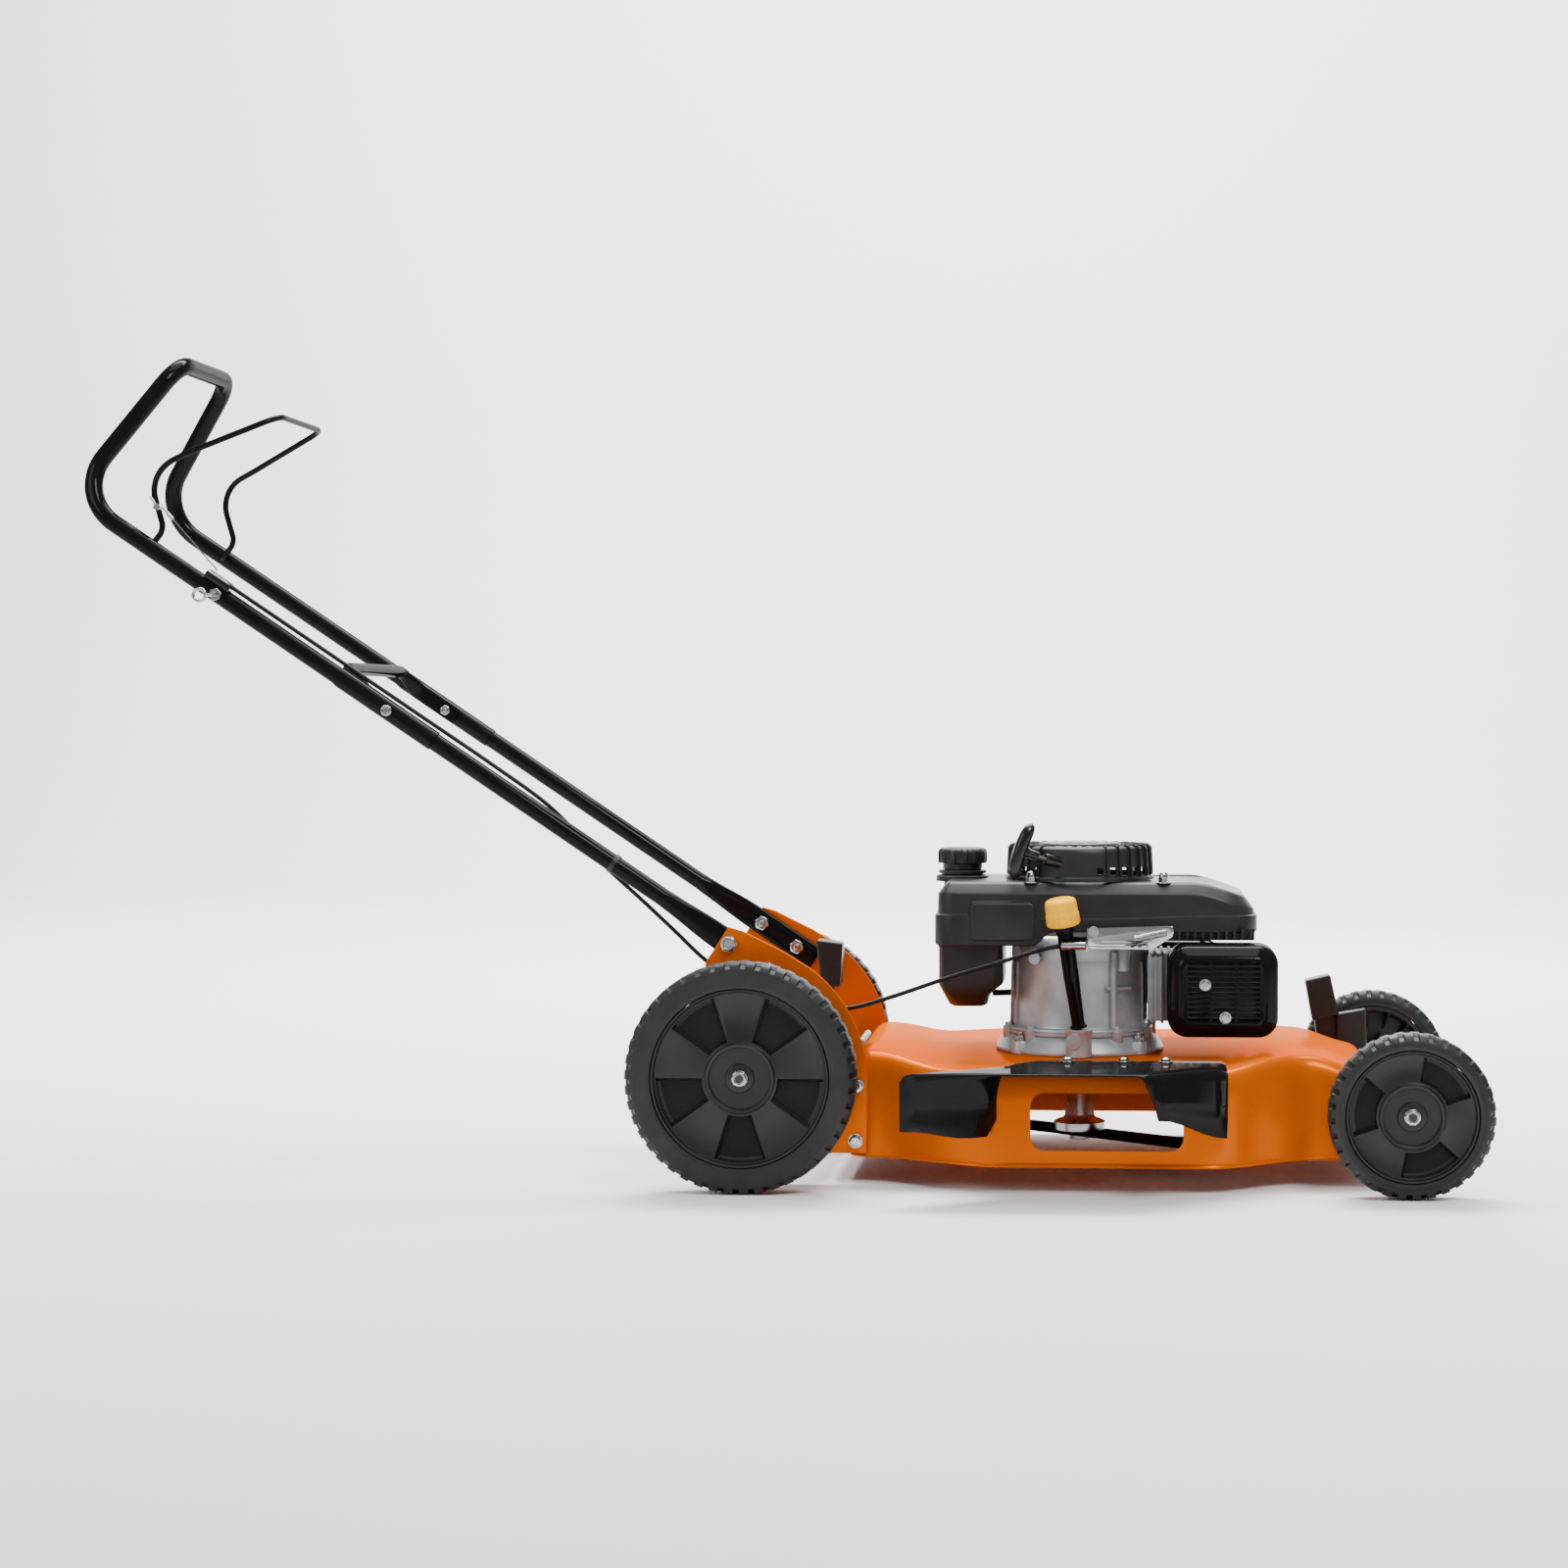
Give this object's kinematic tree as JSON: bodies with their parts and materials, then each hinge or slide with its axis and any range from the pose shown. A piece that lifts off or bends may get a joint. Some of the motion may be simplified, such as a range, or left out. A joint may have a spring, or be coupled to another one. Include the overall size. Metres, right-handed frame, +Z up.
{
  "type": "petrol rotary lawn mower",
  "caption": "Petrol rotary push mower: pressed deck with a side discharge chute, vertical-shaft engine, four wheels on cranked axles and a bent tube handle with a brake bail.",
  "frame": {"origin": "on the ground, under the centre of the machine's outline", "axes": "+X forward, +Y to the operator's left, +Z up"},
  "size_m": [1.7, 0.6201, 1.009],
  "materials": {
    "orange_enamel": "gloss orange enamel on pressed steel",
    "black_enamel": "gloss black enamel",
    "black_plastic": "moulded, fine grain",
    "wheel_plastic": "moulded, satin",
    "tyre_rubber": "matt",
    "flap_rubber": "matt sheet",
    "cast_aluminium": "as cast",
    "zinc_steel": "bright zinc plate",
    "dark_steel": "dark, oiled",
    "yellow_plastic": "moulded, satin",
    "cable_jacket": "extruded jacket",
    "rope_fibre": "braided"
  },
  "bodies": {
    "chassis": {"deck_shell": "orange_enamel", "right_side_plate": "orange_enamel", "left_side_plate": "orange_enamel", "discharge_chute": "black_enamel", "upper_handle": "black_enamel", "right_lower_handle": "black_enamel", "left_lower_handle": "black_enamel", "cross_brace": "black_enamel", "muffler_guard": "black_enamel", "rocker_cover": "black_enamel", "oil_filler_tube": "black_enamel", "blower_housing": "black_plastic", "recoil_cover": "black_plastic", "fuel_tank": "black_plastic", "air_cleaner": "black_plastic", "spark_plug": "black_plastic", "cable_bracket": "black_plastic", "crankcase": "cast_aluminium", "cylinder_block": "cast_aluminium", "carburettor": "cast_aluminium", "flap_rod": "zinc_steel", "stay_pin": "zinc_steel", "brake_bracket": "zinc_steel", "brake_spring": "zinc_steel", "cable_wire": "zinc_steel", "rope_guide": "zinc_steel", "handle_bolt_right_rear": "zinc_steel", "handle_bolt_right_front": "zinc_steel", "handle_bolt_left_rear": "zinc_steel", "handle_bolt_left_front": "zinc_steel", "brace_bolt_right": "zinc_steel", "brace_bolt_left": "zinc_steel", "muffler": "dark_steel", "control_cable": "cable_jacket", "fuel_line": "cable_jacket", "starter_rope": "rope_fibre"},
    "rotor": {"crankshaft": "dark_steel", "flywheel": "cast_aluminium", "blade_adapter": "dark_steel", "mower_blade": "dark_steel", "blade_bolt": "zinc_steel"},
    "recoil_pulley": {"recoil_pulley": "black_plastic"},
    "starter_grip": {"starter_grip": "black_plastic"},
    "fuel_cap": {"fuel_cap": "black_plastic"},
    "oil_dipstick": {"oil_dipstick": "yellow_plastic"},
    "brake_bail": {"brake_bail": "black_enamel"},
    "brake_lever": {"brake_lever": "zinc_steel"},
    "rear_flap": {"rear_flap": "flap_rubber"},
    "rear_axle": {"rear_axle": "zinc_steel", "rear_height_lever": "black_plastic"},
    "front_axle": {"front_axle": "zinc_steel", "front_height_lever": "black_plastic"},
    "rear_right_wheel": {"rear_right_hub": "wheel_plastic", "rear_right_tyre": "tyre_rubber"},
    "rear_left_wheel": {"rear_left_hub": "wheel_plastic", "rear_left_tyre": "tyre_rubber"},
    "front_right_wheel": {"front_right_hub": "wheel_plastic", "front_right_tyre": "tyre_rubber"},
    "front_left_wheel": {"front_left_hub": "wheel_plastic", "front_left_tyre": "tyre_rubber"}
  },
  "joints": [
    {"name": "rear_height_adjust", "type": "hinge", "parent": "chassis", "child": "rear_axle", "pos_m": [0.00647, 0.02505, 0.1143], "axis": [0, -1, 0], "range_deg": [-15, 50]},
    {"name": "front_height_adjust", "type": "hinge", "parent": "chassis", "child": "front_axle", "pos_m": [0.71403, 0.02505, 0.0745], "axis": [0, 1, 0], "range_deg": [-15, 50]},
    {"name": "rear_right_wheel_spin", "type": "hinge", "parent": "rear_axle", "child": "rear_right_wheel", "pos_m": [-0.0325, 0.02505, 0.1368], "axis": [0, 1, 0], "continuous": true},
    {"name": "rear_left_wheel_spin", "type": "hinge", "parent": "rear_axle", "child": "rear_left_wheel", "pos_m": [-0.0325, 0.02505, 0.1368], "axis": [0, 1, 0], "continuous": true},
    {"name": "front_right_wheel_spin", "type": "hinge", "parent": "front_axle", "child": "front_right_wheel", "pos_m": [0.753, 0.02505, 0.097], "axis": [0, 1, 0], "continuous": true},
    {"name": "front_left_wheel_spin", "type": "hinge", "parent": "front_axle", "child": "front_left_wheel", "pos_m": [0.753, 0.02505, 0.097], "axis": [0, 1, 0], "continuous": true},
    {"name": "blade_spin", "type": "hinge", "parent": "chassis", "child": "rotor", "pos_m": [0.3645, 0.02505, 0.2], "axis": [0, 0, 1], "continuous": true},
    {"name": "bail_squeeze", "type": "hinge", "parent": "chassis", "child": "brake_bail", "pos_m": [-0.7715, 0.02505, 0.77031], "axis": [0, -1, 0], "range_deg": [0, 30], "stiffness_Nm_per_rad": 1.5, "springref_deg": -20.05, "deforming": ["cable_wire"]},
    {"name": "brake_release", "type": "hinge", "parent": "chassis", "child": "brake_lever", "pos_m": [0.439, -0.06295, 0.2835], "axis": [0, 0, -1], "range_deg": [0, 27], "deforming": ["brake_spring"]},
    {"name": "starter_pull", "type": "slide", "parent": "chassis", "child": "starter_grip", "axis": [-0.9507, 0, 0.3102], "range_m": [0, 0.5], "stiffness_N_per_m": 16, "springref_m": -0.6, "deforming": ["starter_rope"]},
    {"name": "recoil_turn", "type": "hinge", "parent": "chassis", "child": "recoil_pulley", "pos_m": [0.3645, 0.02505, 0.3765], "axis": [0, 0, -1], "range_deg": [0, 900]},
    {"name": "fuel_cap_turn", "type": "hinge", "parent": "chassis", "child": "fuel_cap", "pos_m": [0.2162, 0.04005, 0.38], "axis": [0, 0, 1], "range_deg": [0, 120]},
    {"name": "dipstick_pull", "type": "slide", "parent": "chassis", "child": "oil_dipstick", "axis": [-0.1417, -0.1379, 0.9803], "range_m": [0, 0.15]},
    {"name": "rear_flap_swing", "type": "hinge", "parent": "chassis", "child": "rear_flap", "pos_m": [0.064, 0.02505, 0.133], "axis": [0, 1, 0], "range_deg": [-5, 45]}
  ],
  "couplings": [
    {"joint": "brake_release", "follows": "bail_squeeze", "ratio": 0.88},
    {"joint": "recoil_turn", "follows": "starter_pull", "rad_per_m": 30}
  ]
}
